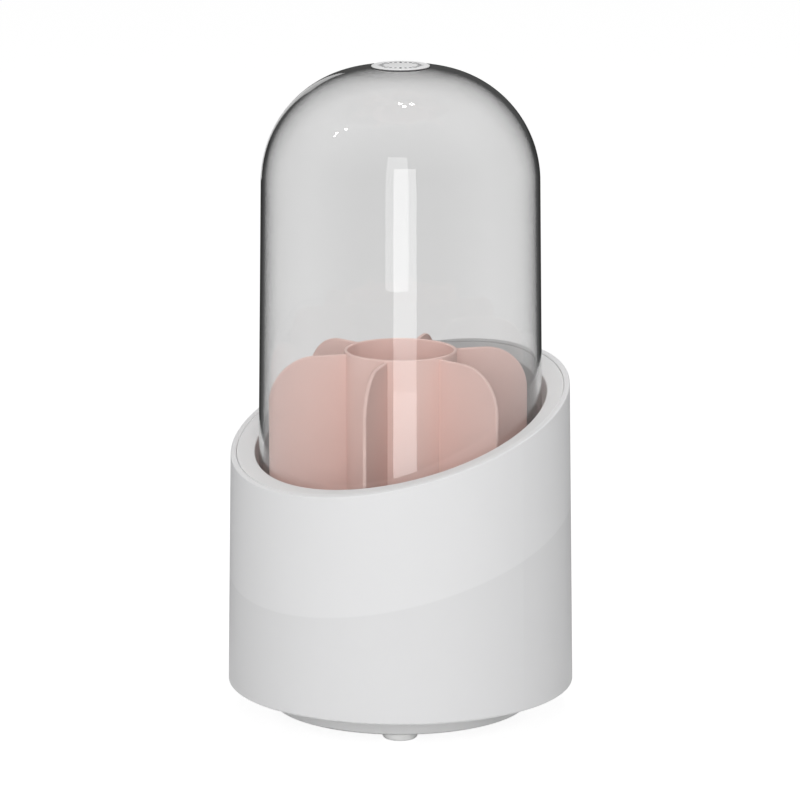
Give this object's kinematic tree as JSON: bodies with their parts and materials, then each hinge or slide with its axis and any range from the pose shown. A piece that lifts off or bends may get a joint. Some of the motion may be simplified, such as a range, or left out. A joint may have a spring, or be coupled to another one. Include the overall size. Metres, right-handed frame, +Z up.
{
  "type": "makeup brush holder",
  "caption": "Turntable makeup-brush holder: slant-rimmed white cup on a ball-bearing base, divided insert with a centre tube and radial vanes, and a clear domed dust cover.",
  "frame": {"origin": "centre of the table plane under the foot pads, on the cup's turning axis", "axes": "+Z up, along the cup's turning axis; +Y towards the high side of the slanted rim; +X completes the frame"},
  "size_m": [0.1206, 0.1206, 0.2271],
  "materials": {
    "shell_white": "satin gloss moulded ABS",
    "liner_white": "satin moulded ABS",
    "base_white": "satin moulded ABS",
    "blush_plastic": "fine matt texture",
    "clear_plastic": "clear, polished",
    "badge_white": "smooth white",
    "natural_nylon": "natural moulded nylon",
    "plated_steel": "bright zinc plate",
    "bearing_steel": "polished",
    "silicone": "translucent silicone"
  },
  "bodies": {
    "base": {"base_plate": "base_white", "pivot_washer": "plated_steel", "pivot_screw": "plated_steel", "foot_pad_1": "silicone", "foot_pad_2": "silicone", "foot_pad_3": "silicone", "foot_pad_4": "silicone"},
    "bearing": {"ball_cage": "natural_nylon", "bearing_ball_01": "bearing_steel", "bearing_ball_02": "bearing_steel", "bearing_ball_03": "bearing_steel", "bearing_ball_04": "bearing_steel", "bearing_ball_05": "bearing_steel", "bearing_ball_06": "bearing_steel", "bearing_ball_07": "bearing_steel", "bearing_ball_08": "bearing_steel", "bearing_ball_09": "bearing_steel", "bearing_ball_10": "bearing_steel", "bearing_ball_11": "bearing_steel", "bearing_ball_12": "bearing_steel"},
    "cup": {"rotor_plate": "base_white", "plate_screws": "plated_steel", "outer_shell": "shell_white", "inner_cup": "liner_white"},
    "insert": {"divider_insert": "blush_plastic"},
    "dome": {"dome_cover": "clear_plastic", "top_badge": "badge_white"}
  },
  "joints": [
    {"name": "cup_spin", "type": "hinge", "parent": "base", "child": "cup", "pos_m": [0, 0, 0.0136], "axis": [0, 0, 1], "continuous": true},
    {"name": "bearing_roll", "type": "hinge", "parent": "base", "child": "bearing", "pos_m": [0, 0, 0.008], "axis": [0, 0, 1], "continuous": true},
    {"name": "insert_lift", "type": "slide", "parent": "cup", "child": "insert", "axis": [0, 0, 1], "range_m": [0, 0.115]},
    {"name": "dome_lift", "type": "slide", "parent": "insert", "child": "dome", "axis": [0, 0, 1], "range_m": [0, 0.08]}
  ],
  "couplings": [
    {"joint": "bearing_roll", "follows": "cup_spin", "ratio": 0.5}
  ]
}
